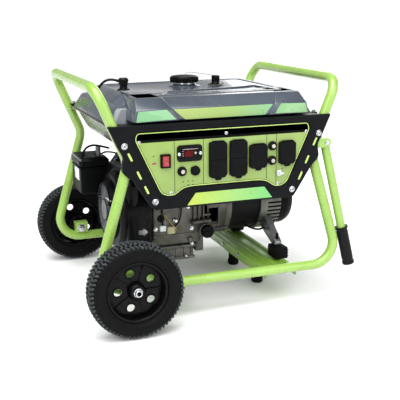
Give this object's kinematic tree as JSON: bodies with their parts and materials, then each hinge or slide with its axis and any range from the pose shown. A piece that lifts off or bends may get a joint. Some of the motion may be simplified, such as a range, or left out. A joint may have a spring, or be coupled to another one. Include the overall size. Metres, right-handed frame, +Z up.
{
  "type": "portable generator",
  "caption": "Open tube-frame portable petrol generator with a sloped control panel, top fuel tank, side wheels and fold-down handles.",
  "frame": {"origin": "on the ground, at the middle of the machine's box in plan", "axes": "+X along the crankshaft from recoil starter to alternator, -Y out of the control panel, +Z up"},
  "size_m": [0.8192, 0.8, 0.645],
  "materials": {
    "lime_paint": "gloss powder coat",
    "tank_black": "semi-gloss enamel",
    "bezel_black": "fine moulded grain",
    "fascia_lime": "satin printed sheet",
    "black_steel": "satin black enamel",
    "black_plastic": "moulded",
    "switch_red": "gloss",
    "button_white": "gloss",
    "cast_aluminium": "die cast",
    "zinc_steel": "zinc plated",
    "machined_steel": "machined",
    "cast_iron": "as cast",
    "tyre_rubber": "moulded tread",
    "soft_rubber": "moulded",
    "rope_cord": "braided"
  },
  "bodies": {
    "root": {"left_hoop": "lime_paint", "right_hoop": "lime_paint", "bottom_rails": "lime_paint", "engine_crossmember": "lime_paint", "alternator_crossmember": "lime_paint", "rubber_feet": "soft_rubber", "rubber_mounts": "soft_rubber", "frame_brackets": "lime_paint", "pivot_bolts": "zinc_steel", "tank_upper_shell": "tank_black", "tank_lower_shell": "tank_black", "tank_bolts": "zinc_steel", "filler_neck": "zinc_steel", "fuel_gauge": "black_plastic", "vent_valve": "black_plastic", "vent_hose": "soft_rubber", "cap_tether": "zinc_steel", "panel_bezel": "bezel_black", "panel_fascia": "fascia_lime", "panel_box": "black_steel", "panel_fasteners": "zinc_steel", "panel_sockets": "black_plastic", "digital_meter": "black_plastic", "crankcase": "cast_aluminium", "cylinder_head": "cast_aluminium", "valve_cover": "cast_aluminium", "blower_housing": "black_steel", "recoil_cover": "black_plastic", "muffler": "black_steel", "air_cleaner": "black_plastic", "carburetor": "cast_aluminium", "alternator_adapter": "cast_aluminium", "stator": "black_steel", "alternator_end_bracket": "cast_aluminium", "alternator_end_cover": "black_plastic"},
    "front_wheel": {"front_tyre": "tyre_rubber", "front_rim": "black_plastic"},
    "rear_wheel": {"rear_tyre": "tyre_rubber", "rear_rim": "black_plastic"},
    "front_handle": {"front_handle_tube": "lime_paint", "front_handle_grip": "soft_rubber"},
    "rear_handle": {"rear_handle_tube": "lime_paint", "rear_handle_grip": "soft_rubber"},
    "crank_train": {"crankshaft": "machined_steel", "flywheel": "cast_iron", "rotor": "machined_steel"},
    "recoil_grip": {"recoil_handle": "black_plastic", "recoil_rope": "rope_cord"},
    "fuel_cap": {"fuel_cap": "black_plastic"},
    "oil_cap": {"oil_filler_cap": "black_plastic"},
    "engine_switch": {"switch_rocker": "switch_red"},
    "reset_button": {"reset_button": "button_white"},
    "upper_breaker": {"breaker_button_upper": "button_white"},
    "lower_breaker": {"breaker_button_lower": "button_white"},
    "duplex_lid_left": {"duplex_cover_left": "black_plastic"},
    "duplex_lid_right": {"duplex_cover_right": "black_plastic"},
    "twist_lid_left": {"twist_cover_left": "black_plastic"},
    "twist_lid_right": {"twist_cover_right": "black_plastic"},
    "dc_lid": {"dc_cover": "black_plastic"},
    "choke": {"choke_lever": "black_plastic"}
  },
  "joints": [
    {"name": "front_wheel_spin", "type": "hinge", "parent": "root", "child": "front_wheel", "pos_m": [-0.277, -0.3615, 0.127], "axis": [0, 1, 0], "continuous": true},
    {"name": "rear_wheel_spin", "type": "hinge", "parent": "root", "child": "rear_wheel", "pos_m": [-0.277, 0.3615, 0.127], "axis": [0, 1, 0], "continuous": true},
    {"name": "front_handle_swing", "type": "hinge", "parent": "root", "child": "front_handle", "pos_m": [0.3057, -0.275, 0.456], "axis": [0, -1, 0], "range_deg": [0, 82]},
    {"name": "rear_handle_swing", "type": "hinge", "parent": "root", "child": "rear_handle", "pos_m": [0.3057, 0.275, 0.456], "axis": [0, -1, 0], "range_deg": [0, 82]},
    {"name": "crank_spin", "type": "hinge", "parent": "root", "child": "crank_train", "pos_m": [0, 0, 0.25], "axis": [1, 0, 0], "continuous": true},
    {"name": "recoil_pull", "type": "slide", "parent": "root", "child": "recoil_grip", "axis": [0, -1, 0], "range_m": [0, 0.05], "stiffness_N_per_m": 60},
    {"name": "fuel_cap_lift", "type": "slide", "parent": "root", "child": "fuel_cap", "axis": [0, 0, 1], "range_m": [0, 0.045]},
    {"name": "oil_cap_turn", "type": "hinge", "parent": "root", "child": "oil_cap", "pos_m": [0.014, -0.13, 0.19], "axis": [0, -1, 0], "range_deg": [0, 360]},
    {"name": "switch_rock", "type": "hinge", "parent": "root", "child": "engine_switch", "pos_m": [-0.169, -0.3015, 0.441], "axis": [1, 0, 0], "range_deg": [-8, 8]},
    {"name": "reset_press", "type": "slide", "parent": "root", "child": "reset_button", "axis": [0, 1, 0], "range_m": [0, 0.003], "stiffness_N_per_m": 400},
    {"name": "upper_breaker_press", "type": "slide", "parent": "root", "child": "upper_breaker", "axis": [0, 1, 0], "range_m": [0, 0.003], "stiffness_N_per_m": 400},
    {"name": "lower_breaker_press", "type": "slide", "parent": "root", "child": "lower_breaker", "axis": [0, 1, 0], "range_m": [0, 0.003], "stiffness_N_per_m": 400},
    {"name": "duplex_lid_left_swing", "type": "hinge", "parent": "root", "child": "duplex_lid_left", "pos_m": [-0.0235, -0.2983, 0.484], "axis": [-1, 0, 0], "range_deg": [0, 90], "stiffness_Nm_per_rad": 0.03},
    {"name": "duplex_lid_right_swing", "type": "hinge", "parent": "root", "child": "duplex_lid_right", "pos_m": [0.035, -0.2983, 0.484], "axis": [-1, 0, 0], "range_deg": [0, 90], "stiffness_Nm_per_rad": 0.03},
    {"name": "twist_lid_left_swing", "type": "hinge", "parent": "root", "child": "twist_lid_left", "pos_m": [0.093, -0.2983, 0.469], "axis": [-1, 0, 0], "range_deg": [0, 90], "stiffness_Nm_per_rad": 0.03},
    {"name": "twist_lid_right_swing", "type": "hinge", "parent": "root", "child": "twist_lid_right", "pos_m": [0.179, -0.2983, 0.472], "axis": [-1, 0, 0], "range_deg": [0, 90], "stiffness_Nm_per_rad": 0.03},
    {"name": "dc_lid_swing", "type": "hinge", "parent": "root", "child": "dc_lid", "pos_m": [-0.0875, -0.2983, 0.422], "axis": [-1, 0, 0], "range_deg": [0, 90], "stiffness_Nm_per_rad": 0.03},
    {"name": "choke_swing", "type": "hinge", "parent": "root", "child": "choke", "pos_m": [-0.172, 0.153, 0.343], "axis": [0, -1, 0], "range_deg": [0, 45]}
  ]
}
